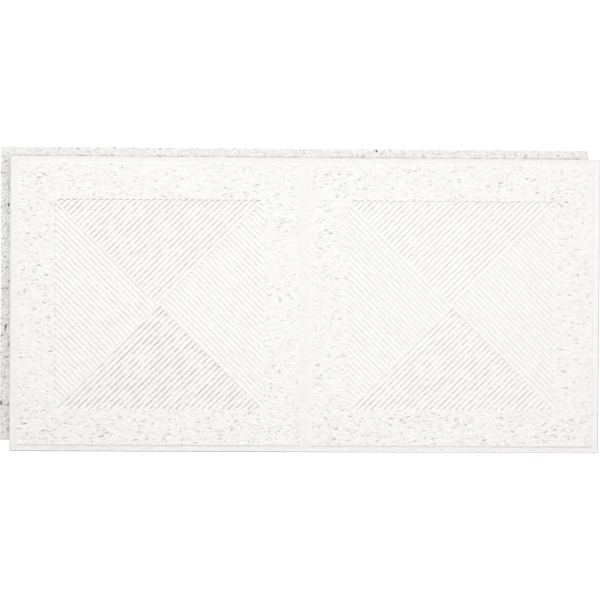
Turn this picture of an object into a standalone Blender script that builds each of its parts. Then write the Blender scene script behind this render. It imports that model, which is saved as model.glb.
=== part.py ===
"""Interlocking ceiling tile: one moulded mineral-fibre board, lying on its back.

X runs along the tile, Y across it and +Z out of the decorated face. The origin is
the centre of the visible face module, on the plane of the back. Lengths in metres.
"""

import math
import random

import bmesh
import bpy
from mathutils import Matrix, Vector

# Face module: square modules side by side, each with one grooved field
MODULE_SIDE = 0.300
MODULES_ALONG = 2

# Lap edges: a flange on the -X and +Y sides, a lip over the neighbour's flange on +X and -Y
SHORT_FLANGE_REACH = 0.0106
LONG_FLANGE_REACH = 0.0099
FLANGE_THICKNESS = 0.008
LAP_GAP = 0.0002
LAP_PLAY = 0.0005
LIP_THICKNESS = 0.0053
EDGE_EASE = 0.001

# How far one part of the moulding runs into the next, so that they join as one solid
ROOT = 0.001

# Raised panel on each module, with a low rim round the tile and a low joint between panels
PANEL_HEIGHT = 0.0012
PANEL_DRAFT = 0.0008
JOINT_DRAFT = 0.0025
RIM_WIDTH = 0.0065
JOINT_WIDTH = 0.0097

# Grooved field: diagonals split it into four triangles of parallel grooves
BORDER_WIDTH = 0.0369
GROOVE_PITCH = 0.004715
RIDGE_WIDTH = 0.00154
GROOVE_DEPTH = 0.0013
GROOVE_DRAFT = 0.0005
DIAGONAL_SIDE_GAP = 0.00205
DIAGONAL_END_GAP = 0.0008
SHORTEST_GROOVE = 0.0008
CUTTER_RISE = 0.0005

# Main fissures: drafted slots scattered over the panels' borders, near the tile's length
FISSURE_COUNT = 220
FISSURE_SEED = 21
FISSURE_LENGTH = 0.0032
FISSURE_WIDTH = 0.0011
FISSURE_DEPTH = 0.0010
FISSURE_DRAFT = 0.0002
FISSURE_TILT = math.radians(20)
SMALLEST_FISSURE = 0.75
LARGEST_FISSURE = 1.25

# Painted mineral fibre
BOARD_COLOUR = (0.86, 0.85, 0.83, 1.0)
BOARD_ROUGHNESS = 0.9

# Heights above the back plane
LIP_UNDERSIDE = FLANGE_THICKNESS + LAP_PLAY
RIM_LEVEL = LIP_UNDERSIDE + LIP_THICKNESS
FACE_LEVEL = RIM_LEVEL + PANEL_HEIGHT

# Outlines seen from the face
HALF_LENGTH = MODULES_ALONG * MODULE_SIDE / 2
HALF_WIDTH = MODULE_SIDE / 2
LIP_REACH = max(SHORT_FLANGE_REACH, LONG_FLANGE_REACH) + LAP_GAP
HALF_FIELD = HALF_WIDTH - RIM_WIDTH - BORDER_WIDTH
FISSURE_SPACING = FISSURE_LENGTH * LARGEST_FISSURE + FISSURE_WIDTH


def clear_scene():
    for old in list(bpy.data.objects):
        bpy.data.objects.remove(old, do_unlink=True)


def board_material():
    material = bpy.data.materials.new("painted_mineral_fibre")
    material.use_nodes = True
    shader = material.node_tree.nodes["Principled BSDF"]
    shader.inputs["Base Color"].default_value = BOARD_COLOUR
    shader.inputs["Roughness"].default_value = BOARD_ROUGHNESS
    shader.inputs["Metallic"].default_value = 0.0
    return material


def rectangle(low_x, high_x, low_y, high_y, height):
    """One section of the board: four corners at a height, anticlockwise from above."""
    corners = ((low_x, low_y), (high_x, low_y), (high_x, high_y), (low_x, high_y))
    return [Vector((x, y, height)) for x, y in corners]


def inset_rectangle(low_x, high_x, low_y, high_y, height, inset):
    return rectangle(low_x + inset, high_x - inset, low_y + inset, high_y - inset, height)


def add_stack(mesh, sections):
    """Joins sections of equal corner count, lowest first, and caps the two ends."""
    rings = [[mesh.verts.new(point) for point in section] for section in sections]
    for lower, upper in zip(rings, rings[1:]):
        for index in range(len(lower)):
            after = (index + 1) % len(lower)
            mesh.faces.new((lower[index], lower[after], upper[after], upper[index]))
    mesh.faces.new(list(reversed(rings[0])))
    mesh.faces.new(rings[-1])


def new_object(name, mesh):
    mesh.normal_update()
    data = bpy.data.meshes.new(name)
    mesh.to_mesh(data)
    mesh.free()
    made = bpy.data.objects.new(name, data)
    bpy.context.scene.collection.objects.link(made)
    return made


def add_boolean(target, tool, operation):
    modifier = target.modifiers.new(tool.name, "BOOLEAN")
    modifier.operation = operation
    modifier.solver = "EXACT"
    modifier.object = tool


def face_sections():
    """The face layer up to rim level, with an eased edge all round."""
    face = (-HALF_LENGTH, HALF_LENGTH, -HALF_WIDTH, HALF_WIDTH)
    return [
        rectangle(*face, LIP_UNDERSIDE),
        rectangle(*face, RIM_LEVEL - EDGE_EASE),
        inset_rectangle(*face, RIM_LEVEL, EDGE_EASE),
    ]


def backing_sections():
    """The backing layer: past the face on -X and +Y as the flange, short of it under the lip."""
    backing = (
        -HALF_LENGTH - SHORT_FLANGE_REACH,
        HALF_LENGTH - LIP_REACH,
        LIP_REACH - HALF_WIDTH,
        HALF_WIDTH + LONG_FLANGE_REACH,
    )
    return [rectangle(*backing, 0.0), rectangle(*backing, FLANGE_THICKNESS)]


def neck_sections():
    """Where the two layers lie over each other, the board is solid through its thickness."""
    neck = (-HALF_LENGTH, HALF_LENGTH - LIP_REACH, LIP_REACH - HALF_WIDTH, HALF_WIDTH)
    return [rectangle(*neck, FLANGE_THICKNESS - ROOT), rectangle(*neck, LIP_UNDERSIDE + ROOT)]


def panel_foot(index):
    """Outline of a raised panel where its walls meet the rim and the joint."""
    low_edge = index * MODULE_SIDE - HALF_LENGTH
    low_gap = RIM_WIDTH if index == 0 else JOINT_WIDTH / 2
    high_gap = RIM_WIDTH if index == MODULES_ALONG - 1 else JOINT_WIDTH / 2
    return (
        low_edge + low_gap,
        low_edge + MODULE_SIDE - high_gap,
        RIM_WIDTH - HALF_WIDTH,
        HALF_WIDTH - RIM_WIDTH,
    )


def panel_sections(index):
    """A raised panel: its root lies in the board, its drafted walls rise from rim level."""
    foot = panel_foot(index)
    low_x, high_x, low_y, high_y = foot
    low_draft = PANEL_DRAFT if index == 0 else JOINT_DRAFT
    high_draft = PANEL_DRAFT if index == MODULES_ALONG - 1 else JOINT_DRAFT
    top = (low_x + low_draft, high_x - high_draft, low_y + PANEL_DRAFT, high_y - PANEL_DRAFT)
    return [
        rectangle(*foot, RIM_LEVEL - ROOT),
        rectangle(*foot, RIM_LEVEL),
        rectangle(*top, FACE_LEVEL),
    ]


def field_centre(index):
    """Each grooved field is centred on the foot of its panel."""
    low_x, high_x = panel_foot(index)[:2]
    return (low_x + high_x) / 2


def groove_outline(start, inset):
    """Plan of one groove in a triangle's own axes, with every side moved in by an inset.

    The first axis runs along the grooves and the second across them, both from the
    field's centre. One end is square to the diagonal, the other lies on the border.
    """
    near = start + inset
    far = start + GROOVE_PITCH - RIDGE_WIDTH - inset
    square_end = DIAGONAL_END_GAP + inset
    border = (HALF_FIELD - inset) * math.sqrt(2)
    return [(square_end, near), (border - near, near), (border - far, far), (square_end, far)]


def groove_sections(start, turn):
    """A drafted bar that cuts one groove, from its floor to just above the face."""
    draft_slope = GROOVE_DRAFT / GROOVE_DEPTH
    floor = groove_outline(start, GROOVE_DRAFT)
    rise = groove_outline(start, -CUTTER_RISE * draft_slope)
    return [
        [turn @ Vector((x, y, FACE_LEVEL - GROOVE_DEPTH)) for x, y in floor],
        [turn @ Vector((x, y, FACE_LEVEL + CUTTER_RISE)) for x, y in rise],
    ]


def groove_starts():
    """Distance of each groove's near side from the diagonal that it runs along."""
    groove_width = GROOVE_PITCH - RIDGE_WIDTH
    last = HALF_FIELD * math.sqrt(2) - DIAGONAL_END_GAP - SHORTEST_GROOVE - groove_width
    count = math.floor((last - DIAGONAL_SIDE_GAP) / GROOVE_PITCH) + 1
    return [DIAGONAL_SIDE_GAP + index * GROOVE_PITCH for index in range(count)]


def field_grooves(index):
    """Four triangles of grooves, each turned a quarter from the last, like a pinwheel."""
    place = Matrix.Translation((field_centre(index), 0.0, 0.0))
    bars = []
    for quarter in range(4):
        turn = place @ Matrix.Rotation(math.radians(45 + 90 * quarter), 4, "Z")
        bars += [groove_sections(start, turn) for start in groove_starts()]
    return bars


def on_border(x, y, margin):
    """Whether a place on the face lies on a panel's border, with a margin all round."""
    for index in range(MODULES_ALONG):
        low_x, high_x, low_y, high_y = panel_foot(index)
        to_edge = min(x - low_x, high_x - x, y - low_y, high_y - y)
        from_field = max(abs(x - field_centre(index)), abs(y)) - HALF_FIELD
        if to_edge > max(PANEL_DRAFT, JOINT_DRAFT) + margin and from_field > margin:
            return True
    return False


def main_fissures():
    """Centre, heading and scale of each main fissure: random places, clear of one another."""
    chance = random.Random(FISSURE_SEED)
    fissures = []
    while len(fissures) < FISSURE_COUNT:
        x = chance.uniform(-HALF_LENGTH, HALF_LENGTH)
        y = chance.uniform(-HALF_WIDTH, HALF_WIDTH)
        heading = chance.uniform(-FISSURE_TILT, FISSURE_TILT)
        scale = chance.uniform(SMALLEST_FISSURE, LARGEST_FISSURE)
        clear = all(math.dist((x, y), other[:2]) > FISSURE_SPACING for other in fissures)
        if clear and on_border(x, y, FISSURE_SPACING / 2):
            fissures.append((x, y, heading, scale))
    return fissures


def fissure_sections(x, y, heading, scale):
    """A drafted block that cuts one fissure, from its floor to just above the face."""
    turn = Matrix.Translation((x, y, 0.0)) @ Matrix.Rotation(heading, 4, "Z")
    half_length = FISSURE_LENGTH * scale / 2
    half_width = FISSURE_WIDTH * scale / 2
    slot = (-half_length, half_length, -half_width, half_width)
    depth = FISSURE_DEPTH * scale
    rise = CUTTER_RISE * FISSURE_DRAFT / depth
    floor = inset_rectangle(*slot, FACE_LEVEL - depth, FISSURE_DRAFT)
    mouth = inset_rectangle(*slot, FACE_LEVEL + CUTTER_RISE, -rise)
    return [[turn @ point for point in section] for section in (floor, mouth)]


def build_tool(name, stacks):
    """A hidden solid, or several that stay clear of each other, for one Boolean."""
    mesh = bmesh.new()
    for sections in stacks:
        add_stack(mesh, sections)
    tool = new_object(name, mesh)
    tool.hide_render = True
    tool.display_type = "WIRE"
    return tool


def build_board():
    mesh = bmesh.new()
    add_stack(mesh, face_sections())
    board = new_object("ceiling_tile", mesh)
    board.data.materials.append(board_material())
    return board


def main():
    clear_scene()
    board = build_board()
    add_boolean(board, build_tool("neck", [neck_sections()]), "UNION")
    add_boolean(board, build_tool("backing", [backing_sections()]), "UNION")
    panels = [panel_sections(index) for index in range(MODULES_ALONG)]
    add_boolean(board, build_tool("raised_panels", panels), "UNION")
    grooves = [bar for index in range(MODULES_ALONG) for bar in field_grooves(index)]
    add_boolean(board, build_tool("groove_fields", grooves), "DIFFERENCE")
    fissures = [fissure_sections(*fissure) for fissure in main_fissures()]
    add_boolean(board, build_tool("main_fissures", fissures), "DIFFERENCE")


main()
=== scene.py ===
"""Looks of the interlocking ceiling tile: relief, fissures, raw edges, paint, light and camera.

The tile lies on its back with the decorated face up. Lengths are in metres, in the
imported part's own frame, and every surface of the tile is a grid of points from numpy.
"""

import math
import random

import bmesh
import bpy
import numpy as np
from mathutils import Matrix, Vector


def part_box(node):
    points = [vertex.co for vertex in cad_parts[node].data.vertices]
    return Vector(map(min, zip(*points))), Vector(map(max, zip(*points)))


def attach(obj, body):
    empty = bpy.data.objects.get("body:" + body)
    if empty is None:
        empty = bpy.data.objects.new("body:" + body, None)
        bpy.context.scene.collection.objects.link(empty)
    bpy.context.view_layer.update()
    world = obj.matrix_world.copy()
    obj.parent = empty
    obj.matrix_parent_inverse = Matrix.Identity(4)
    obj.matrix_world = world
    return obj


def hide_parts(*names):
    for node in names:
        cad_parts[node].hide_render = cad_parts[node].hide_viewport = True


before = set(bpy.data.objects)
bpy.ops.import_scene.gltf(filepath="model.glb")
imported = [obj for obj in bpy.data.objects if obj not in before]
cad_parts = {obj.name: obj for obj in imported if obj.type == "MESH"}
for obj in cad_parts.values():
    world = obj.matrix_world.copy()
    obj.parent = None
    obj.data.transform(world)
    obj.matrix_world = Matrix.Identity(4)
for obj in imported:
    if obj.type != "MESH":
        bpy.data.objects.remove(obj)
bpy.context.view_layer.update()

# Outline and height of the tile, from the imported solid
LOW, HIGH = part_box("ceiling_tile")
HALF_LENGTH = HIGH.x
HALF_WIDTH = -LOW.y
FLANGE_REACH = -LOW.x - HIGH.x
FACE_LEVEL = HIGH.z

# Sizes of the moulding
MODULE_SIDE = 2 * HALF_WIDTH
LAP_GAP = 0.0002
LIP_REACH = FLANGE_REACH + LAP_GAP
FLANGE_LEVEL = 0.008
LIP_UNDERSIDE = 0.0085
PANEL_HEIGHT = 0.0012
PANEL_DRAFT = 0.0008
RIM_LEVEL = FACE_LEVEL - PANEL_HEIGHT
RIM_WIDTH = 0.0065
JOINT_WIDTH = 0.0097
JOINT_DRAFT = 0.0025
EDGE_EASE = 0.0013

# Grooved fields
BORDER_WIDTH = 0.0369
HALF_FIELD = HALF_WIDTH - RIM_WIDTH - BORDER_WIDTH
HALF_DIAGONAL = HALF_FIELD * math.sqrt(2)
GROOVE_PITCH = 0.004715
RIDGE_WIDTH = 0.00154
GROOVE_WIDTH = GROOVE_PITCH - RIDGE_WIDTH
GROOVE_WALL = 0.0005
GROOVE_END_WALL = 0.00035
GROOVES_ACROSS = 31
GROOVE_SWAY = 0.00005

# Depth of each field's grooves in its upper, near, lower and far triangle
GROOVE_DEPTHS = ((0.0012, 0.0012, 0.0013, 0.0010), (0.0010, 0.0008, 0.0011, 0.0008))

# How far the grooves of each of those triangles keep from the diagonal beside them, from the
# diagonal at their square ends, and from the field's border
SIDE_GAPS = ((0.0018, 0.00205, 0.0026, 0.0017), (0.0021, 0.0032, 0.0024, 0.00085))
END_GAPS = ((0.0, 0.0, 0.0, 0.0001), (0.0, 0.0002, 0.0009, 0.0))
GROOVE_SHORTFALLS = ((0.0, 0.0013, 0.0, 0.0), (0.0, 0.0009, 0.0, 0.0010))

# Painted shade lies in the lee of the key light in each groove, in dashes along it, by a share
# of its depth: upper, near, lower and far triangle
LEE_SHADE_WIDTH = 0.0008
LEE_SHADE_SHARES = (0.70, 0.50, 1.0, 0.48)

# The triangles whose lee, the wall turned from the key light, is the one away from the diagonal
# beside them
LEE_FAR_QUARTERS = (0, 3)

# The dashes come from the fine grain: each groove reads a lane of its own, as does each
# triangle, and distances along it are shrunk
LANE_SPACING = 0.0113
QUARTER_SPACING = 0.07
DASH_SHRINK = 0.7

# Painted shade at the grooves' ends along the border, and then darkening at their square ends
END_SHADE_WIDTH = 0.0011
END_SHADE_SHARES = (1.0, 0.35, 0.0, 0.15)
SQUARE_END_DARKENING = (0.2, 0.25, 0.0, 0.15)

# Main fissures, at the solid's own places
FISSURE_COUNT = 220
FISSURE_SEED = 21
FISSURE_LENGTH = 0.0032
FISSURE_WIDTH = 0.0011
FISSURE_DEPTH = 0.0010
FISSURE_TILT = math.radians(20)
SMALLEST_FISSURE = 0.75
LARGEST_FISSURE = 1.25
FISSURE_SPACING = FISSURE_LENGTH * LARGEST_FISSURE + FISSURE_WIDTH
FISSURE_BEND = 0.3
FISSURE_DOTS = 11

# Finer fissures: how many, and the limits of their length, of their width and of their depth
MIDDLE_COUNT = 3600
MIDDLE_FISSURES = ((0.0012, 0.0036), (0.0007, 0.0011), (0.0005, 0.0010))
SPECK_COUNT = 3200
SPECKS = ((0.0003, 0.0009), (0.0008, 0.0012), (0.0005, 0.0010))
FAINT_COUNT = 12000
FAINT_FISSURES = ((0.0012, 0.0055), (0.0005, 0.0009), (0.00015, 0.0005))

# Walls of every fissure, how many cells of the map one dot of it reaches, how much deeper
# fissures get towards -Y, and the width over which they die out at a grooved field
PIT_WALL = 0.00035
PIT_REACH = 5
LOWER_DEEPENING = 0.28
FIELD_FADE = 0.0004

# Grid spacing of the fine surfaces
FACE_CELL = 0.00065
GROOVE_CELL = 0.0020
JOINT_CELL = 0.001
RIM_CELL = 0.002
EDGE_CELL = 0.0024
BACK_CELL = 0.006

# Least room for the grooves' last grid row and for a row's inner columns, distance at which two
# points are one, and angle from which an edge is shaded sharp
ROW_ROOM = 0.0004
COLUMN_ROOM = 0.0008
SAME_PLACE = 1e-6
SHARP_ANGLE = math.radians(50)

# Hidden levels where the pieces are stacked inside the board
BLOCK_FLOOR = FACE_LEVEL - 0.0035
SHELF_LEVEL = BLOCK_FLOOR - 0.0003
SHELF_INSET = 0.013
NECK_LEVEL = SHELF_LEVEL - 0.0003
NECK_FLOOR = FLANGE_LEVEL - 0.001
NECK_INSET = 0.0001

# Name of the point attribute that holds the depth of pits, which darkens the paint there as
# thin paint and painted shade, and also the painted shade of the grooves' lees, the rim's
# eased edge and the flange's ledge; and the depths that stand for thin paint on the joint and
# on the rim's floor, and for painted shade half-way up the panels' long walls
PIT_DEPTH_AND_SHADE = "pit_depth_and_shade"
JOINT_THINNING = 0.00018
RIM_THINNING = 0.00022
LONG_WALL_SHADE = 0.0005

# Wear and painted shade of the lips' eased edges, as a share of the depth below the rim: at
# the lip's worn and shaded end, how much less it is at the other, and where the change between
# them starts and how long it is
LONG_LIP_WEAR_AND_SHADE = (1.7, 1.35, -0.1, 0.22)
SHORT_LIP_WEAR_AND_SHADE = (3.3, 2.1, 0.015, 0.06)

# Relief map, laid over the whole face, and depths of the sandy relief and of two gentler waves
MAP_CELL = 0.00025
MAP_MARGIN = 0.012
SAND_DEPTH = 0.00045
SOFT_DEPTH = 0.00008
BROAD_DEPTH = 0.00006

# Sawn walls: how far in they are rough, and how deep on the face layer and on the raw backing
ROUGH_REACH = 0.002
FACE_WALL_DEPTH = 0.00012
RAW_WALL_DEPTH = 0.0002

# The flange's ledge: depth of its felt, its crevice beside the face with painted shade in it,
# and the painted shade towards the face
FELT_DEPTH = 0.0003
CREVICE_DEPTH = 0.0006
CREVICE_WIDTH = 0.0013
CREVICE_UNDERCUT = 0.001
CREVICE_SHADE = 0.0004
LEDGE_SHADE = 0.00017
LEDGE_SHADE_WIDTH = 0.0095


def clamp(values):
    return np.clip(values, 0.0, 1.0)


def smooth_step(values):
    """Rises from 0 to 1 with level ends: 3t squared less 2t cubed, t held between 0 and 1."""
    share = clamp(values)
    return share * share * (3 - 2 * share)


def grain_map(rows, columns, grain, seed, stretch=1.0):
    """White noise blurred by a Gaussian of the grain's size, stretched along columns.

    Its standard deviation is 1.
    """
    noise = np.random.default_rng(seed).standard_normal((rows, columns))
    across = np.fft.fftfreq(rows, MAP_CELL)[:, None]
    along = np.fft.rfftfreq(columns, MAP_CELL)[None, :] * stretch
    blur = np.exp(-2 * (math.pi * grain) ** 2 * (along**2 + across**2))
    field = np.fft.irfft2(np.fft.rfft2(noise) * blur, s=noise.shape)
    return field / field.std()


def read_map(values, x, y):
    """Reads a map at points by blending its four nearest cells; it repeats past its edges."""
    column = (x + HALF_LENGTH + MAP_MARGIN) / MAP_CELL
    row = (y + HALF_WIDTH + MAP_MARGIN) / MAP_CELL
    left = np.floor(column).astype(int)
    below = np.floor(row).astype(int)
    u = column - left
    v = row - below
    rows, columns = values.shape
    left, right = left % columns, (left + 1) % columns
    below, above = below % rows, (below + 1) % rows
    low = values[below, left] * (1 - u) + values[below, right] * u
    high = values[above, left] * (1 - u) + values[above, right] * u
    return low * (1 - v) + high * v


MAP_SHAPE = (
    int(2 * (HALF_WIDTH + MAP_MARGIN) / MAP_CELL),
    int(2 * (HALF_LENGTH + MAP_MARGIN) / MAP_CELL),
)
FINE_GRAIN = grain_map(*MAP_SHAPE, grain=0.00053, seed=11, stretch=2.0)
SOFT_GRAIN = grain_map(*MAP_SHAPE, grain=0.0022, seed=12)
BROAD_WAVE = grain_map(*MAP_SHAPE, grain=0.016, seed=13)


def panel_outline(module):
    """Foot of a raised panel: low and high x, low and high y."""
    left = -HALF_LENGTH + module * MODULE_SIDE
    low_gap, high_gap = RIM_WIDTH, JOINT_WIDTH / 2
    if module == 1:
        low_gap, high_gap = high_gap, low_gap
    high_y = HALF_WIDTH - RIM_WIDTH
    return left + low_gap, left + MODULE_SIDE - high_gap, -high_y, high_y


def field_centre(module):
    """Each grooved field is centred on the foot of its panel."""
    low_x, high_x = panel_outline(module)[:2]
    return (low_x + high_x) / 2


def on_border(x, y, margin):
    """Whether a place on the face lies on a panel's border, with a margin all round."""
    for module in range(2):
        low_x, high_x, low_y, high_y = panel_outline(module)
        to_edge = min(x - low_x, high_x - x, y - low_y, high_y - y)
        from_field = max(abs(x - field_centre(module)), abs(y)) - HALF_FIELD
        if to_edge > max(PANEL_DRAFT, JOINT_DRAFT) + margin and from_field > margin:
            return True
    return False


def main_fissures():
    """The solid's fissures: x, y, heading, length, width and depth of each."""
    chance = random.Random(FISSURE_SEED)
    fissures = []
    while len(fissures) < FISSURE_COUNT:
        x = chance.uniform(-HALF_LENGTH, HALF_LENGTH)
        y = chance.uniform(-HALF_WIDTH, HALF_WIDTH)
        heading = chance.uniform(-FISSURE_TILT, FISSURE_TILT)
        scale = chance.uniform(SMALLEST_FISSURE, LARGEST_FISSURE)
        clear = all(math.dist((x, y), other[:2]) > FISSURE_SPACING for other in fissures)
        if clear and on_border(x, y, FISSURE_SPACING / 2):
            sizes = (FISSURE_LENGTH * scale, FISSURE_WIDTH * scale, FISSURE_DEPTH * scale)
            fissures.append((x, y, heading, *sizes))
    return np.array(fissures).T


def small_fissures(count, lengths, widths, depths, seed):
    """Finer fissures, scattered over the whole face, most of them near the tile's length."""
    rng = np.random.default_rng(seed)
    x = rng.uniform(-HALF_LENGTH, HALF_LENGTH, count)
    y = rng.uniform(-HALF_WIDTH, HALF_WIDTH, count)
    heading = rng.normal(0.0, FISSURE_TILT, count)
    sizes = [rng.uniform(*limits, count) for limits in (lengths, widths, depths)]
    return np.stack([x, y, heading, *sizes])


def fissure_dots(fissures, seed):
    """Fissures as rows of dots on a wandering path: x, y, radius and depth of every dot.

    The heading bends at each step round its mean, and the dots are smaller and shallower
    towards both ends.
    """
    x, y, heading, length, width, depth = (part[:, None] for part in fissures)
    rng = np.random.default_rng(seed)
    bends = rng.normal(0.0, FISSURE_BEND, (len(x), FISSURE_DOTS)).cumsum(axis=1)
    heading = heading + bends - bends.mean(axis=1, keepdims=True)
    step = length / (FISSURE_DOTS - 1)
    path_x = (np.cos(heading) * step).cumsum(axis=1)
    path_y = (np.sin(heading) * step).cumsum(axis=1)
    x = x + path_x - path_x.mean(axis=1, keepdims=True)
    y = y + path_y - path_y.mean(axis=1, keepdims=True)
    taper = 1 - 0.5 * np.linspace(-1, 1, FISSURE_DOTS) ** 2
    radius = width / 2 * taper * rng.uniform(0.75, 1.1, x.shape)
    return np.stack([x, y, radius, depth * (0.7 + 0.3 * taper)]).reshape(4, -1)


def stamp_fissures(dots):
    """Depth map of the dots: each is a flat-bottomed pit with sloping walls, the deepest wins."""
    x, y, radius, depth = (part[:, None] for part in dots)
    offsets = np.arange(-PIT_REACH, PIT_REACH + 1)
    across, along = (part.reshape(1, -1) for part in np.meshgrid(offsets, offsets, indexing="ij"))
    column = np.rint((x + HALF_LENGTH + MAP_MARGIN) / MAP_CELL).astype(int) + along
    row = np.rint((y + HALF_WIDTH + MAP_MARGIN) / MAP_CELL).astype(int) + across
    cell_x = column * MAP_CELL - HALF_LENGTH - MAP_MARGIN
    cell_y = row * MAP_CELL - HALF_WIDTH - MAP_MARGIN
    from_dot = np.hypot(cell_x - x, cell_y - y)
    pit = depth * smooth_step((radius - from_dot) / PIT_WALL + 0.5)
    rows, columns = MAP_SHAPE
    depths = np.zeros(MAP_SHAPE)
    np.maximum.at(depths, (row % rows, column % columns), pit)
    return depths


FISSURES = np.maximum.reduce([
    stamp_fissures(fissure_dots(main_fissures(), seed=31)),
    stamp_fissures(fissure_dots(small_fissures(MIDDLE_COUNT, *MIDDLE_FISSURES, seed=22), seed=32)),
    stamp_fissures(fissure_dots(small_fissures(SPECK_COUNT, *SPECKS, seed=23), seed=33)),
    stamp_fissures(fissure_dots(small_fissures(FAINT_COUNT, *FAINT_FISSURES, seed=24), seed=34)),
])


def painted_roughness(x, y):
    """The paint skin's own relief, always a little below its nominal level.

    It is a sandy grain and two gentler waves. The grain is rougher towards -Y and at both long
    edges: 1 less 0.2 s plus 0.35 s squared, where s runs from -1 to 1 across the tile.
    """
    fine = read_map(FINE_GRAIN, x, y)
    soft = read_map(SOFT_GRAIN, x, y)
    broad = read_map(BROAD_WAVE, x, y)
    waves = SOFT_DEPTH * clamp(0.5 + 0.2 * soft) + BROAD_DEPTH * clamp(0.5 + 0.2 * broad)
    across = y / HALF_WIDTH
    strength = SAND_DEPTH * (1.0 - 0.2 * across + 0.35 * across**2)
    return -strength * clamp(0.5 + 0.25 * fine) - waves


def grid_index(rows, columns):
    return np.arange(rows * columns).reshape(rows, columns)


def grid_quads(index, wrap_columns=False, wrap_rows=False):
    """Four-sided faces between neighbouring points of a grid, facing up where columns run right."""
    if wrap_columns:
        index = np.concatenate([index, index[:, :1]], axis=1)
    if wrap_rows:
        index = np.concatenate([index, index[:1]], axis=0)
    corners = (index[:-1, :-1], index[:-1, 1:], index[1:, 1:], index[1:, :-1])
    return np.stack(corners, axis=-1).reshape(-1, 4)


def new_piece(name, points, faces, material, pits=None):
    """A mesh object of the tile: doubled points merged, shaded smooth, riding on the board.

    Each point keeps how deep it lies in a pit, for the thin paint and painted shade there, or
    the painted shade given to it.
    """
    data = bpy.data.meshes.new(name)
    data.from_pydata(points.reshape(-1, 3), [], faces)
    depth = data.attributes.new(PIT_DEPTH_AND_SHADE, "FLOAT", "POINT")
    if pits is not None:
        values = np.zeros(len(data.vertices))
        values[: pits.size] = pits.ravel()
        depth.data.foreach_set("value", values)
    mesh = bmesh.new()
    mesh.from_mesh(data)
    bmesh.ops.remove_doubles(mesh, verts=mesh.verts, dist=SAME_PLACE)
    mesh.to_mesh(data)
    mesh.free()
    data.shade_smooth()
    data.set_sharp_from_angle(angle=SHARP_ANGLE)
    data.materials.append(material)
    piece = bpy.data.objects.new(name, data)
    bpy.context.scene.collection.objects.link(piece)
    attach(piece, "root")
    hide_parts("ceiling_tile")
    return piece


def block(name, top, floor_level, material, pits=None):
    """Closes a grid surface into a solid: a wall hangs from each of its sides to a flat floor."""
    rows, columns = top.shape[:2]
    index = grid_index(rows, columns)
    corners = top[[0, 0, -1, -1], [0, -1, -1, 0]].copy()
    corners[:, 2] = floor_level
    foot = rows * columns + np.arange(4)
    sides = (index[0], index[:, -1], index[-1, ::-1], index[::-1, 0])
    faces = grid_quads(index).tolist()
    for number, side in enumerate(sides):
        after = (number + 1) % 4
        if not np.allclose(corners[number], corners[after], atol=SAME_PLACE):
            faces.append([int(foot[number]), int(foot[after]), *side[::-1].tolist()])
    faces.append(foot[::-1].tolist())
    return new_piece(name, np.concatenate([top.reshape(-1, 3), corners]), faces, material, pits)


def spaced(low, high, cell):
    return np.linspace(low, high, max(2, int(round((high - low) / cell)) + 1))


def panel_surface(module, x, y):
    """Height of a panel's border: the face less its drafted edge, its fissures and its roughness.

    Fissures deepen towards -Y and die out at the drafted edges and at the grooved field. The
    second value is their depth, with painted shade half-way up the two long walls.
    """
    low_x, high_x, low_y, high_y = panel_outline(module)
    centre = field_centre(module)
    joint_side, rim_side = (high_x - x, x - low_x) if module == 0 else (x - low_x, high_x - x)
    inside = np.minimum(rim_side, np.minimum(y - low_y, high_y - y)) / PANEL_DRAFT
    from_joint = joint_side / JOINT_DRAFT
    rise = smooth_step(np.minimum(inside, from_joint))
    from_field = np.maximum(np.abs(x - centre), np.abs(y)) - HALF_FIELD
    clear_of_edges = smooth_step(np.minimum(inside - 0.8, 1.6 * from_joint))
    pitted = clear_of_edges * smooth_step(from_field / FIELD_FADE)
    deepening = 1 + LOWER_DEEPENING * smooth_step(-2 * y / HALF_WIDTH - 1)
    pits = pitted * read_map(FISSURES, x, y) * deepening
    height = RIM_LEVEL + PANEL_HEIGHT * rise - pits + painted_roughness(x, y) * rise
    up_long_wall = smooth_step(np.minimum(y - low_y, high_y - y) / PANEL_DRAFT)
    # Painted shade half-way up the two long walls
    return height, pits + LONG_WALL_SHADE * 4 * up_long_wall * (1 - up_long_wall)


def edge_lines(low, high, low_edge, high_edge):
    """Even grid lines, with closer ones over the drafted edge at either end."""
    steps = PANEL_DRAFT * np.array([0.0, 0.17, 0.34, 0.5, 0.66, 0.83, 1.0, 1.4])
    start = low + (steps if low_edge else np.zeros(1))
    end = high - (steps[::-1] if high_edge else np.zeros(1))
    return np.concatenate([start, spaced(start[-1], end[0], FACE_CELL)[1:-1], end])


def panel_strip(name, module, x_lines, y_lines, material):
    x, y = np.meshgrid(x_lines, y_lines)
    height, pits = panel_surface(module, x, y)
    return block(name, np.stack([x, y, height], axis=-1), BLOCK_FLOOR, material, pits)


def build_panel_border(module, material):
    """Four fissured strips round the grooved field of one module."""
    low_x, high_x, low_y, high_y = panel_outline(module)
    centre = field_centre(module)
    side = "left" if module == 0 else "right"
    whole_x = edge_lines(low_x, high_x, True, True)
    field_y = edge_lines(-HALF_FIELD, HALF_FIELD, False, False)
    lower_y = edge_lines(low_y, -HALF_FIELD, True, False)
    upper_y = edge_lines(HALF_FIELD, high_y, False, True)
    near_x = edge_lines(low_x, centre - HALF_FIELD, True, False)
    far_x = edge_lines(centre + HALF_FIELD, high_x, False, True)
    panel_strip(f"{side}_panel_lower_border", module, whole_x, lower_y, material)
    panel_strip(f"{side}_panel_upper_border", module, whole_x, upper_y, material)
    panel_strip(f"{side}_panel_near_border", module, near_x, field_y, material)
    panel_strip(f"{side}_panel_far_border", module, far_x, field_y, material)


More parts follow.
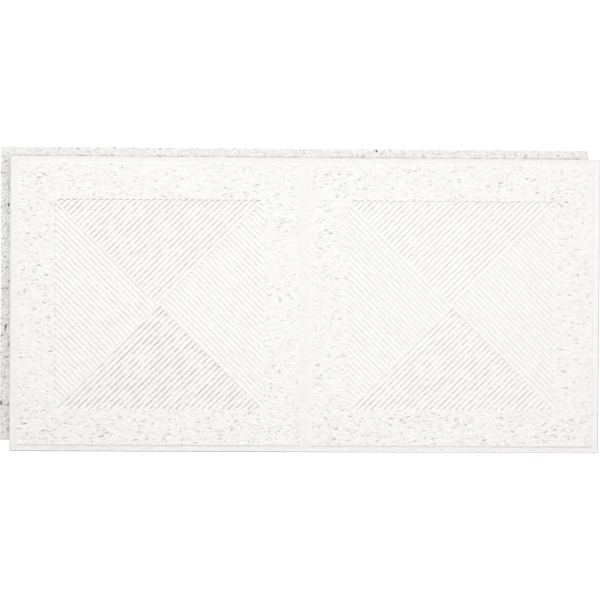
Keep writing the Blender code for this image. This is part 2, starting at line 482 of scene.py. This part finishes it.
def groove_row_lines(side_gap):
    """Distances from the diagonal beside the grooves: close lines on both walls of each groove."""
    wall = GROOVE_WALL * np.array([0.0, 0.33, 0.67, 1.0])
    far_wall = GROOVE_WIDTH - wall[::-1]
    one = np.concatenate([wall, [GROOVE_WIDTH / 2], far_wall, [GROOVE_WIDTH + RIDGE_WIDTH / 2]])
    starts = side_gap + GROOVE_PITCH * np.arange(GROOVES_ACROSS)
    lines = (starts[:, None] + one[None, :]).ravel()
    lines = lines[lines < HALF_DIAGONAL - ROW_ROOM]
    return np.concatenate([[0.0, side_gap / 2], lines, [HALF_DIAGONAL]])


def end_columns(gap):
    """Distances from a row's end: close lines on the end wall past the gap, and one past its shade.
    """
    wall = GROOVE_END_WALL * np.array([0.0, 0.25, 0.5, 0.75, 1.0])
    columns = np.append(gap + wall, gap + END_SHADE_WIDTH)
    return np.append(0.0, columns[columns > 0])[None, :]


def triangle_grid(side_gap, end_gap, shortfall):
    """Distances of a triangle's points along its grooves, across them, and from their border ends.

    Each row runs along the grooves from diagonal to border. Its columns crowd at the square
    end and at the border, where the end walls are, and are squeezed where the row is short.
    """
    across = groove_row_lines(side_gap)[:, None]
    length = HALF_DIAGONAL - across
    near = end_columns(end_gap)
    far = end_columns(shortfall)[:, ::-1] * math.sqrt(2)
    squeeze = np.minimum(1.0, length / (near[0, -1] + far[0, 0] + COLUMN_ROOM))
    near = near * squeeze
    far = length - far * squeeze
    count = int(round(HALF_DIAGONAL / GROOVE_CELL))
    share = np.linspace(0, 1, count + 1)[None, 1:-1]
    middle = near[:, -1:] + (far[:, :1] - near[:, -1:]) * share
    along = np.concatenate([near, middle, far], axis=1)
    border = (length - along) / math.sqrt(2) - shortfall
    return along, np.broadcast_to(across, along.shape), border


def groove_shares(from_first, lee_is_far):
    """How far a point lies down in its groove, from 0 on the ridges to 1 on the floors, and how
    far it lies in the lee of the key light, which gets painted shade: on the wall that faces
    away from the light and at its foot.

    The first value is its distance across the grooves from the start of the first one.
    """
    phase = np.mod(from_first, GROOVE_PITCH)
    in_groove = from_first > 0
    near_wall = smooth_step(phase / GROOVE_WALL)
    far_wall = smooth_step((GROOVE_WIDTH - phase) / GROOVE_WALL)
    from_lee = GROOVE_WIDTH - phase if lee_is_far else phase
    lee_shade = smooth_step(from_lee / GROOVE_WALL)
    lee_shade = lee_shade * smooth_step((LEE_SHADE_WIDTH - from_lee) / (LEE_SHADE_WIDTH - GROOVE_WALL))
    return near_wall * far_wall * in_groove, lee_shade * in_groove


def end_fade(from_end):
    """Full at the foot of an end wall, and gone at the width of the painted shade there."""
    return smooth_step((END_SHADE_WIDTH - from_end) / (END_SHADE_WIDTH - GROOVE_END_WALL))


def field_triangle(module, quarter):
    """Surface of one triangle of grooves, and the depth that stands for its painted shade.

    A groove's depth is its share times one rounded step at either end, and varies a little
    along the groove. Painted shade is the lee's share, in dashes, or the share of painted shade
    at the border end or of darkening at the square end, which fade out inwards from the end
    wall. The whole sways a little sideways.
    """
    full_depth = GROOVE_DEPTHS[module][quarter]
    side_gap = SIDE_GAPS[module][quarter]
    end_gap = END_GAPS[module][quarter]
    shortfall = GROOVE_SHORTFALLS[module][quarter]
    along, across, border = triangle_grid(side_gap, end_gap, shortfall)
    from_square_end = along - end_gap
    ends = smooth_step(from_square_end / GROOVE_END_WALL) * smooth_step(border / GROOVE_END_WALL)
    share, lee_shade = groove_shares(across - side_gap, quarter in LEE_FAR_QUARTERS)
    number = np.floor((across - side_gap) / GROOVE_PITCH)
    lane = number * LANE_SPACING + QUARTER_SPACING * quarter
    dashes = read_map(FINE_GRAIN, DASH_SHRINK * along, lane)
    depth = ends * share * full_depth * (1 + 0.15 * np.clip(dashes, -1.5, 1.0))
    # Painted shade in the lee of the key light, in dashes along the groove
    lee_shade = LEE_SHADE_SHARES[quarter] * lee_shade * clamp(0.65 + 0.4 * dashes)
    # Painted shade at the border end, and darkening at the square end
    end_shade = END_SHADE_SHARES[quarter] * end_fade(border)
    square_end_darkening = SQUARE_END_DARKENING[quarter] * end_fade(from_square_end)
    pits = full_depth * ends * np.maximum(lee_shade, share * np.maximum(end_shade, square_end_darkening))

    centre = field_centre(module)
    turn = math.radians(45 + 90 * quarter)
    x = centre + along * math.cos(turn) - across * math.sin(turn)
    y = along * math.sin(turn) + across * math.cos(turn)
    sway = GROOVE_SWAY * ends * read_map(SOFT_GRAIN, y, x)
    x = x - sway * math.sin(turn)
    y = y + sway * math.cos(turn)
    height = FACE_LEVEL - depth + painted_roughness(x, y)
    return np.stack([x, y, height], axis=-1), pits


def build_field(module, material):
    """Four triangles of grooves, each a quarter turn from the last, as a pinwheel."""
    side = "left" if module == 0 else "right"
    for quarter, place in enumerate(("upper", "near", "lower", "far")):
        top, pits = field_triangle(module, quarter)
        block(f"{side}_field_{place}_grooves", top, BLOCK_FLOOR, material, pits)


def build_joint(material):
    """The low smooth band between the two panels, level with the rim."""
    x, y = np.meshgrid(
        spaced(-JOINT_WIDTH / 2, JOINT_WIDTH / 2, JOINT_CELL),
        spaced(RIM_WIDTH - HALF_WIDTH, HALF_WIDTH - RIM_WIDTH, JOINT_CELL),
    )
    top = np.stack([x, y, RIM_LEVEL + painted_roughness(x, y)], axis=-1)
    return block("panel_joint", top, BLOCK_FLOOR, material, np.full(x.shape, JOINT_THINNING))


def outline_corners(outline, inset):
    low_x, high_x, low_y, high_y = outline
    x = np.stack([low_x + inset, high_x - inset, high_x - inset, low_x + inset])
    y = np.stack([low_y + inset, low_y + inset, high_y - inset, high_y - inset])
    return x, y


def around_outline(outline, inset, height, cell):
    """A profile carried round a rectangle: its inset and height are joined corner to corner."""
    low_x, high_x, low_y, high_y = outline
    counts = [int(round(span / cell)) for span in (high_x - low_x, high_y - low_y) * 2]
    x, y = outline_corners(outline, np.asarray(inset, float))
    parts_x = []
    parts_y = []
    for number, count in enumerate(counts):
        after = (number + 1) % 4
        share = np.arange(count)[None, :] / count
        parts_x.append(x[number][:, None] * (1 - share) + x[after][:, None] * share)
        parts_y.append(y[number][:, None] * (1 - share) + y[after][:, None] * share)
    x = np.concatenate(parts_x, axis=1)
    y = np.concatenate(parts_y, axis=1)
    z = np.broadcast_to(np.asarray(height, float)[:, None], x.shape)
    return np.stack([x, y, z], axis=-1)


def roughened(points, outline, depth, seed):
    """Pushes walls in from the outline by a grain, so that sawn fibre edges look broken."""
    x, y, z = np.moveaxis(points, -1, 0)
    low_x, high_x, low_y, high_y = outline
    centre_x = (low_x + high_x) / 2
    centre_y = (low_y + high_y) / 2
    near_side = np.minimum(np.minimum(x - low_x, high_x - x), np.minimum(y - low_y, high_y - y))
    on_wall = smooth_step(1 - near_side / ROUGH_REACH)
    grain = read_map(FINE_GRAIN, x + 3.1 * z + seed * 0.01, y + 2.7 * z) * 0.5
    grain = grain + read_map(SOFT_GRAIN, x + 1.3 * z, y + 1.7 * z + seed * 0.01)
    push = depth * clamp(0.5 + 0.33 * grain) * on_wall
    x = x + np.sign(centre_x - x) * push * (np.minimum(x - low_x, high_x - x) < ROUGH_REACH)
    y = y + np.sign(centre_y - y) * push * (np.minimum(y - low_y, high_y - y) < ROUGH_REACH)
    return np.stack([x, y, z], axis=-1)


def rim_profile():
    """The rim's section as insets and heights, and its rows from the eased edge's top inwards.

    It runs from the shelf under the lip over a small chamfer, up the wall, over the eased edge
    and the floor, and down to the shelf inside.
    """
    under = np.linspace(SHELF_INSET, 0.0008, 10)
    wall = np.linspace(LIP_UNDERSIDE + 0.0005, RIM_LEVEL - EDGE_EASE, 7)[:-1]
    ease = np.radians(np.linspace(0, 90, 6))
    floor = np.linspace(EDGE_EASE, RIM_WIDTH, 8)[1:]
    inset = np.concatenate([
        under,
        [0.0002],
        np.zeros(len(wall)),
        EDGE_EASE * (1 - np.cos(ease)),
        floor,
        [RIM_WIDTH, SHELF_INSET],
    ])
    height = np.concatenate([
        np.full(len(under), LIP_UNDERSIDE),
        [LIP_UNDERSIDE + 0.0001],
        wall,
        RIM_LEVEL - EDGE_EASE * (1 - np.sin(ease)),
        np.full(len(floor), RIM_LEVEL),
        [SHELF_LEVEL, SHELF_LEVEL],
    ])
    floor_end = len(inset) - 2
    return inset, height, slice(floor_end - len(floor) - 1, floor_end)


def lip_wear_and_shade(place, worn_and_shaded, less, start, length):
    """Wear and painted shade on a lip: its worn end's, less what fades smoothly to the other."""
    return worn_and_shaded - less * smooth_step((place - start) / length)


def rim_wear_and_shade(points, height):
    """The depth that stands for thin or worn paint, and for painted shade, at each point of the rim.

    Paint is worn off most of the eased edge on the two lip sides, which stand out past the
    backing and face away from the key light, so that their dark edge is worn paint and painted
    shade; on the other two it is worn off the foot. The long lip is worn and shaded most towards
    -X and the short one towards -Y. Away from the edge, the paint is full on the short lip and a
    little thin on the other three sides.
    """
    x, y = points[..., 0], points[..., 1]
    drop = np.maximum(RIM_LEVEL - height, 0)[:, None]
    foot_wear_and_shade = 2 * smooth_step(2.5 * drop / EDGE_EASE - 1.5)
    long_lip_wear_and_shade = np.maximum(lip_wear_and_shade(x, *LONG_LIP_WEAR_AND_SHADE), foot_wear_and_shade)
    wear_and_shade = np.where(y < RIM_WIDTH - HALF_WIDTH, long_lip_wear_and_shade, foot_wear_and_shade)
    on_wall = drop > 1.01 * EDGE_EASE
    short_lip_worn_and_shaded = np.minimum(lip_wear_and_shade(y, *SHORT_LIP_WEAR_AND_SHADE) * drop, EDGE_EASE)
    short_lip_worn_and_shaded = np.where(on_wall, 2 * drop, short_lip_worn_and_shaded)
    return np.where(x > HALF_LENGTH - RIM_WIDTH, short_lip_worn_and_shaded, RIM_THINNING + drop * wear_and_shade)


def build_rim(material):
    """The face layer's rim: lip underside, outer wall, eased edge and rim floor, closed inside."""
    outline = (-HALF_LENGTH, HALF_LENGTH, -HALF_WIDTH, HALF_WIDTH)
    inset, height, rim_floor = rim_profile()
    points = around_outline(outline, inset, height, RIM_CELL)
    points = roughened(points, outline, FACE_WALL_DEPTH, seed=5)
    x, y = points[rim_floor, :, 0], points[rim_floor, :, 1]
    points[rim_floor, :, 2] += painted_roughness(x, y)
    faces = grid_quads(grid_index(*points.shape[:2]), True, True)
    return new_piece("face_rim", points, faces, material, rim_wear_and_shade(points, height))


def backing_profile(half):
    """The backing's section as insets and heights, and the row where its ledge starts.

    It runs from the midline of the back over a small chamfer, up the wall, over another one
    and along the ledge to the midline again. Rows crowd beside the face layer.
    """
    back = np.linspace(half, 0.0012, int(half / BACK_CELL))
    wall = np.linspace(0.0005, FLANGE_LEVEL - 0.0005, 9)
    outer = np.linspace(0.0012, 0.0076, 8)
    beside_face = np.linspace(0.0081, 0.0108, 10)
    ledge = np.concatenate([outer, beside_face, [SHELF_INSET, half]])
    inset = np.concatenate([back, [0.0004], np.zeros(len(wall)), [0.0001], ledge])
    height = np.concatenate([
        np.zeros(len(back)),
        [0.00005],
        wall,
        [FLANGE_LEVEL - 0.0001],
        np.full(len(ledge), FLANGE_LEVEL),
    ])
    return inset, height, len(back) + 1 + len(wall)


def build_backing(material):
    """The backing layer: back face, rough outer wall and the flange's felted ledge.

    The ledge dips into a crevice beside the face, darkened with painted shade, and painted
    shade darkens it towards the face by the square root of how near it is.
    """
    outline = (LOW.x, HALF_LENGTH - LIP_REACH, LIP_REACH - HALF_WIDTH, HIGH.y)
    inset, height, ledge_row = backing_profile((outline[3] - outline[2]) / 2)
    points = around_outline(outline, inset, height, EDGE_CELL)
    points = roughened(points, outline, RAW_WALL_DEPTH, seed=9)
    x, y, z = np.moveaxis(points, -1, 0)
    on_ledge = (np.arange(len(inset)) >= ledge_row)[:, None]
    grain = 0.6 * read_map(FINE_GRAIN, x, y) + 0.8 * read_map(SOFT_GRAIN, x, y)
    from_wall = np.maximum(-HALF_LENGTH - x, y - HALF_WIDTH)
    crevice = smooth_step(1 - from_wall / CREVICE_WIDTH)
    crevice = crevice * smooth_step(1 + from_wall / CREVICE_UNDERCUT) * on_ledge
    z = z - FELT_DEPTH * clamp(0.4 + 0.3 * grain) * on_ledge - CREVICE_DEPTH * crevice
    points = np.stack([x, y, z], axis=-1)
    shade = LEDGE_SHADE * np.sqrt(clamp(1 - from_wall / LEDGE_SHADE_WIDTH))
    shade = shade + crevice * (CREVICE_SHADE + CREVICE_SHADE * read_map(SOFT_GRAIN, x, y))
    faces = grid_quads(grid_index(*points.shape[:2]), True)
    return new_piece("backing", points, faces, material, shade * on_ledge)


def build_neck(material):
    """The board between flange and lip, seen only as a thin line under the face layer."""
    x, y = np.meshgrid(
        np.array([NECK_INSET - HALF_LENGTH, HALF_LENGTH - LIP_REACH - NECK_INSET]),
        np.array([LIP_REACH - HALF_WIDTH + NECK_INSET, HALF_WIDTH - NECK_INSET]),
    )
    top = np.stack([x, y, np.full(x.shape, NECK_LEVEL)], axis=-1)
    return block("neck", top, NECK_FLOOR, material)


def node(tree, kind, **values):
    made = tree.nodes.new(kind)
    for key, value in values.items():
        if key in made.inputs:
            made.inputs[key].default_value = value
        else:
            setattr(made, key, value)
    return made


def noise(tree, coordinates, scale, detail, roughness=0.55, stretch=(1, 1, 1)):
    """Noise in object space, with a scale in features per metre."""
    mapping = tree.nodes.new("ShaderNodeMapping")
    mapping.inputs["Scale"].default_value = stretch
    tree.links.new(coordinates, mapping.inputs["Vector"])
    made = node(tree, "ShaderNodeTexNoise", Scale=scale, Detail=detail, Roughness=roughness)
    tree.links.new(mapping.outputs["Vector"], made.inputs["Vector"])
    return made.outputs["Fac"]


def ramp(tree, factor, low, high, low_value=0.0, high_value=1.0):
    """Maps a range of a value to another range, held at both ends."""
    made = node(tree, "ShaderNodeMapRange", clamp=True)
    limits = {"From Min": low, "From Max": high, "To Min": low_value, "To Max": high_value}
    for key, value in limits.items():
        made.inputs[key].default_value = value
    tree.links.new(factor, made.inputs["Value"])
    return made.outputs["Result"]


def mix_colour(tree, factor, first, second):
    made = tree.nodes.new("ShaderNodeMix")
    made.data_type = "RGBA"
    tree.links.new(factor, made.inputs["Factor"])
    for socket, value in ((made.inputs["A"], first), (made.inputs["B"], second)):
        if isinstance(value, tuple):
            socket.default_value = (*value, 1.0)
        else:
            tree.links.new(value, socket)
    return made.outputs["Result"]


def maths(tree, operation, first, second):
    made = tree.nodes.new("ShaderNodeMath")
    made.operation = operation
    made.use_clamp = True
    for socket, value in ((made.inputs[0], first), (made.inputs[1], second)):
        if isinstance(value, (int, float)):
            socket.default_value = value
        else:
            tree.links.new(value, socket)
    return made.outputs[0]


def bump(tree, height, strength, distance):
    made = node(tree, "ShaderNodeBump", Strength=strength, Distance=distance)
    tree.links.new(height, made.inputs["Height"])
    return made.outputs["Normal"]


def start_material(name):
    material = bpy.data.materials.new(name)
    material.use_nodes = True
    tree = material.node_tree
    shader = tree.nodes["Principled BSDF"]
    coordinates = tree.nodes.new("ShaderNodeTexCoord").outputs["Object"]
    return material, tree, shader, coordinates


def pit_depth_and_shade(tree):
    """A point's pit depth or depth below the rim, and its painted shade, from its mesh."""
    made = node(tree, "ShaderNodeAttribute", attribute_type="GEOMETRY", attribute_name=PIT_DEPTH_AND_SHADE)
    return made.outputs["Fac"]


def spot(tree, coordinates, place, radius, ragged):
    """Cover of a ragged round spot on the flange: 1 at its middle, and 0 past 1.4 of its radius."""
    apart = node(tree, "ShaderNodeVectorMath", operation="DISTANCE")
    apart.inputs[1].default_value = (*place, FLANGE_LEVEL)
    tree.links.new(coordinates, apart.inputs[0])
    ragged_share = ramp(tree, ragged, 0.3, 0.7, 0.0, 0.7 * radius)
    edge = maths(tree, "ADD", apart.outputs["Value"], ragged_share)
    return ramp(tree, edge, radius, 1.4 * radius, 1.0, 0.0)


PAINT = (0.948, 0.930, 0.921)
PAINT_SHADE = (0.905, 0.886, 0.877)
# Thin paint and painted shade in pits, in the grooves' lees and on the panels' walls
PORE_AND_SHADE = (0.62, 0.60, 0.585)
# Painted shade on the raw flange, in its crevice and towards the face
CREVICE_SHADE_COLOUR = (0.42, 0.40, 0.385)
# Worn paint and painted shade on the rim's eased edge
WORN_AND_SHADED_ARRIS = (0.40, 0.39, 0.385)
FIBRE = (0.90, 0.885, 0.875)
FIBRE_DARK = (0.58, 0.565, 0.555)
FIBRE_PALE = (0.96, 0.945, 0.935)
CLUMP = (0.30, 0.29, 0.28)
FLECK = (0.10, 0.095, 0.09)

# Depths below the surface from which the paint darkens and at which it is fully dark, as thin
# paint and painted shade in pits, lees and on walls, and as worn paint and painted shade on the
# eased edges, the value at which the painted shade on the raw flange is darkest, and how much
# paint covers it at the face
DARKEN_FROM = 0.0001
DARKEN_TO = 0.0012
WEAR_SHADE_FROM = 0.00036
WEAR_SHADE_TO = 0.0005
DARKEST_SHADE = 0.0012
OVERSPRAY = 0.66

# Dark flecks in the raw flange: x, y and radius of each, some of them in a row as one streak
FLANGE_FLECKS = (
    (0.0717, 0.1575, 0.0012),
    (-0.3024, 0.1011, 0.0010),
    (-0.3024, 0.0994, 0.0011),
    (-0.3040, -0.0214, 0.0010),
    (-0.3049, -0.0229, 0.0012),
    (-0.3050, -0.0244, 0.0010),
    (-0.3053, -0.0260, 0.0008),
    (-0.3059, -0.0275, 0.0008),
    (-0.3106, -0.1013, 0.0029),
)


def paint_colour(tree, coordinates):
    """Warm white latex: a faint mottle over centimetres and a sandy grain under a millimetre."""
    mottle = maths(tree, "MULTIPLY", noise(tree, coordinates, 90, 3), 0.6)
    sand = maths(tree, "MULTIPLY", noise(tree, coordinates, 1500, 3, 0.7), 0.4)
    mixed = ramp(tree, maths(tree, "ADD", mottle, sand), 0.34, 0.66)
    paint = mix_colour(tree, mixed, PAINT_SHADE, PAINT)
    # Thin paint and painted shade, by the depth and shade each point records
    patchy = ramp(tree, noise(tree, coordinates, 650, 2), 0.35, 0.65, 0.6, 1.4)
    bare_and_shaded = maths(tree, "MULTIPLY", pit_depth_and_shade(tree), patchy)
    return mix_colour(tree, ramp(tree, bare_and_shaded, DARKEN_FROM, DARKEN_TO), paint, PORE_AND_SHADE)


def fibre_colour(tree, coordinates):
    """Raw mineral fibre: grey felt with pale tufts, dark clumps and a few near-black flecks."""
    felt = noise(tree, coordinates, 420, 6, 0.7)
    tufts = noise(tree, coordinates, 900, 4, 0.65, (1, 1, 0.6))
    flecks = noise(tree, coordinates, 260, 2, 0.5)
    clumps = noise(tree, coordinates, 230, 3)
    base = mix_colour(tree, ramp(tree, felt, 0.40, 0.57), FIBRE_DARK, FIBRE)
    pale = mix_colour(tree, ramp(tree, tufts, 0.50, 0.64), base, FIBRE_PALE)
    clumped = mix_colour(tree, ramp(tree, clumps, 0.58, 0.68, 0.0, 0.8), pale, CLUMP)
    return mix_colour(tree, ramp(tree, flecks, 0.735, 0.76), clumped, FLECK)


def painted_material():
    material, tree, shader, coordinates = start_material("painted_face")
    tree.links.new(paint_colour(tree, coordinates), shader.inputs["Base Color"])
    sheen = ramp(tree, noise(tree, coordinates, 700, 2), 0.3, 0.7, 0.82, 0.95)
    tree.links.new(sheen, shader.inputs["Roughness"])
    shader.inputs["Specular IOR Level"].default_value = 0.25
    sand = noise(tree, coordinates, 1700, 4, 0.7)
    tree.links.new(bump(tree, sand, 0.6, 0.0002), shader.inputs["Normal"])
    return material


def raw_material():
    """Raw board, with paint blown over the long flange beside the face."""
    material, tree, shader, coordinates = start_material("raw_fibre")
    split = tree.nodes.new("ShaderNodeSeparateXYZ")
    tree.links.new(coordinates, split.inputs["Vector"])
    across = split.outputs["Y"]
    blown = ramp(tree, across, HALF_WIDTH - 0.0005, HALF_WIDTH + 0.0025, 0.0, OVERSPRAY)
    ledge = ramp(tree, split.outputs["Z"], FLANGE_LEVEL - 0.0035, FLANGE_LEVEL - 0.001)
    patchy = ramp(tree, noise(tree, coordinates, 260, 4), 0.38, 0.62, 0.35, 1.0)
    overspray = maths(tree, "MULTIPLY", maths(tree, "MULTIPLY", blown, ledge), patchy)
    # Painted shade in the flange's crevice and towards the face, from the value the mesh records
    shaded = ramp(tree, pit_depth_and_shade(tree), 0.0, DARKEST_SHADE)
    board = mix_colour(tree, shaded, fibre_colour(tree, coordinates), CREVICE_SHADE_COLOUR)
    colour = mix_colour(tree, overspray, board, PAINT)
    ragged = noise(tree, coordinates, 1100, 3)
    for x, y, radius in FLANGE_FLECKS:
        colour = mix_colour(tree, spot(tree, coordinates, (x, y), radius, ragged), colour, FLECK)
    tree.links.new(colour, shader.inputs["Base Color"])
    shader.inputs["Roughness"].default_value = 0.95
    shader.inputs["Specular IOR Level"].default_value = 0.2
    felt = noise(tree, coordinates, 800, 6, 0.75)
    tree.links.new(bump(tree, felt, 0.7, 0.0005), shader.inputs["Normal"])
    return material


def edge_material():
    """Paint on the rim, worn off the eased edge, with raw board on the outer wall below it.

    The dark eased edge is worn paint and painted shade.
    """
    material, tree, shader, coordinates = start_material("painted_edge")
    uneven = ramp(tree, noise(tree, coordinates, 300, 4), 0.3, 0.7, 0.7, 1.6)
    worn_and_shaded = ramp(tree, maths(tree, "MULTIPLY", pit_depth_and_shade(tree), uneven), WEAR_SHADE_FROM, WEAR_SHADE_TO)
    wall = ramp(tree, pit_depth_and_shade(tree), 1.17 * EDGE_EASE, 1.5 * EDGE_EASE)
    bare_and_shaded = mix_colour(tree, wall, WORN_AND_SHADED_ARRIS, fibre_colour(tree, coordinates))
    colour = mix_colour(tree, worn_and_shaded, paint_colour(tree, coordinates), bare_and_shaded)
    tree.links.new(colour, shader.inputs["Base Color"])
    shader.inputs["Roughness"].default_value = 0.9
    shader.inputs["Specular IOR Level"].default_value = 0.25
    sand = noise(tree, coordinates, 1300, 5, 0.72)
    tree.links.new(bump(tree, sand, 0.5, 0.0003), shader.inputs["Normal"])
    return material


def build_tile():
    painted = painted_material()
    raw = raw_material()
    edge = edge_material()
    build_backing(raw)
    build_neck(raw)
    build_rim(edge)
    build_joint(painted)
    for module in range(2):
        build_panel_border(module, painted)
        build_field(module, painted)


# Light, floor and camera
KEY_DIRECTION = math.radians(105)
KEY_ELEVATION = math.radians(45)
KEY_DISTANCE = 2.2
KEY_SIZE = 0.35
KEY_POWER = 16.5
KEY_COLOUR = (1.0, 0.992, 0.985)
SIDE_LOCATION = (0.55, -0.15, 1.1)
SIDE_SIZE = 0.5
SIDE_POWER = 1.04
FILL_STRENGTH = 0.702
OVERHEAD_CENTRE = (0.033, -0.009)
OVERHEAD_SPACING = 0.278
OVERHEAD_HEIGHT = 1.7
OVERHEAD_POOL = 0.27
OVERHEAD_SIZE = 0.15
OVERHEAD_POWER = 4.2
FLOOR_SIZE = 6.0
FLOOR_LEVEL = -0.0001
FLOOR_COLOUR = (0.9, 0.9, 0.9, 1.0)
FLOOR_GLOW = 0.545

CAMERA_LOCATION = (-0.029094, 0.021515, 1.5)
CAMERA_TURN = (-0.011112, -0.015791, 0.005843)
CAMERA_LENS = 87.704
CAMERA_SENSOR = 36.0


def seen_rays(tree):
    """1 for rays that see the background: camera, glossy and transmission rays."""
    path = tree.nodes.new("ShaderNodeLightPath")
    total = maths(tree, "ADD", path.outputs["Is Camera Ray"], path.outputs["Is Glossy Ray"])
    return maths(tree, "ADD", total, path.outputs["Is Transmission Ray"])


def build_world():
    world = bpy.data.worlds.new("studio")
    bpy.context.scene.world = world
    world.use_nodes = True
    tree = world.node_tree
    background = tree.nodes["Background"]
    background.inputs["Color"].default_value = (1.0, 1.0, 1.0, 1.0)
    strength = ramp(tree, seen_rays(tree), 0, 1, FILL_STRENGTH, 1.0)
    tree.links.new(strength, background.inputs["Strength"])


def build_floor():
    mesh = bmesh.new()
    bmesh.ops.create_grid(mesh, x_segments=1, y_segments=1, size=FLOOR_SIZE / 2)
    bmesh.ops.translate(mesh, vec=(0, 0, FLOOR_LEVEL), verts=mesh.verts)
    data = bpy.data.meshes.new("floor")
    mesh.to_mesh(data)
    mesh.free()
    floor = bpy.data.objects.new("floor", data)
    bpy.context.scene.collection.objects.link(floor)
    material, tree, shader, _ = start_material("floor")
    shader.inputs["Base Color"].default_value = FLOOR_COLOUR
    shader.inputs["Roughness"].default_value = 1.0
    shader.inputs["Emission Color"].default_value = (1.0, 1.0, 1.0, 1.0)
    glow = ramp(tree, seen_rays(tree), 0, 1, 0.0, FLOOR_GLOW)
    tree.links.new(glow, shader.inputs["Emission Strength"])
    data.materials.append(material)


def build_key_light():
    data = bpy.data.lights.new("key", "AREA")
    data.shape = "SQUARE"
    data.size = KEY_SIZE
    data.energy = KEY_POWER
    data.color = KEY_COLOUR
    light = bpy.data.objects.new("key", data)
    bpy.context.scene.collection.objects.link(light)
    level = KEY_DISTANCE * math.cos(KEY_ELEVATION)
    light.location = (
        level * math.cos(KEY_DIRECTION),
        level * math.sin(KEY_DIRECTION),
        KEY_DISTANCE * math.sin(KEY_ELEVATION),
    )
    light.rotation_euler = (math.pi / 2 - KEY_ELEVATION, 0, KEY_DIRECTION + math.pi / 2)


def build_side_light():
    """A weak broad lamp high beyond the right end, which evens the face out along its length."""
    data = bpy.data.lights.new("side", "AREA")
    data.shape = "SQUARE"
    data.size = SIDE_SIZE
    data.energy = SIDE_POWER
    light = bpy.data.objects.new("side", data)
    bpy.context.scene.collection.objects.link(light)
    light.location = SIDE_LOCATION
    light.rotation_euler = Vector(SIDE_LOCATION).to_track_quat("Z", "Y").to_euler()


def build_overhead_lights():
    """Two soft spots above the camera, whose pools brighten the middle of the face a little."""
    for place, sign in (("left", -1), ("right", 1)):
        data = bpy.data.lights.new(f"overhead_{place}", "SPOT")
        data.energy = OVERHEAD_POWER
        data.spot_size = 2 * math.atan(OVERHEAD_POOL / OVERHEAD_HEIGHT)
        data.spot_blend = 1.0
        data.shadow_soft_size = OVERHEAD_SIZE
        light = bpy.data.objects.new(data.name, data)
        bpy.context.scene.collection.objects.link(light)
        x = OVERHEAD_CENTRE[0] + sign * OVERHEAD_SPACING / 2
        light.location = (x, OVERHEAD_CENTRE[1], OVERHEAD_HEIGHT)


def build_camera():
    data = bpy.data.cameras.new("camera")
    data.lens = CAMERA_LENS
    data.sensor_width = CAMERA_SENSOR
    camera = bpy.data.objects.new("camera", data)
    camera.location = CAMERA_LOCATION
    camera.rotation_euler = CAMERA_TURN
    bpy.context.scene.collection.objects.link(camera)
    bpy.context.scene.camera = camera


build_tile()
build_world()
build_floor()
build_key_light()
build_side_light()
build_overhead_lights()
build_camera()
bpy.context.scene.view_settings.view_transform = "Standard"
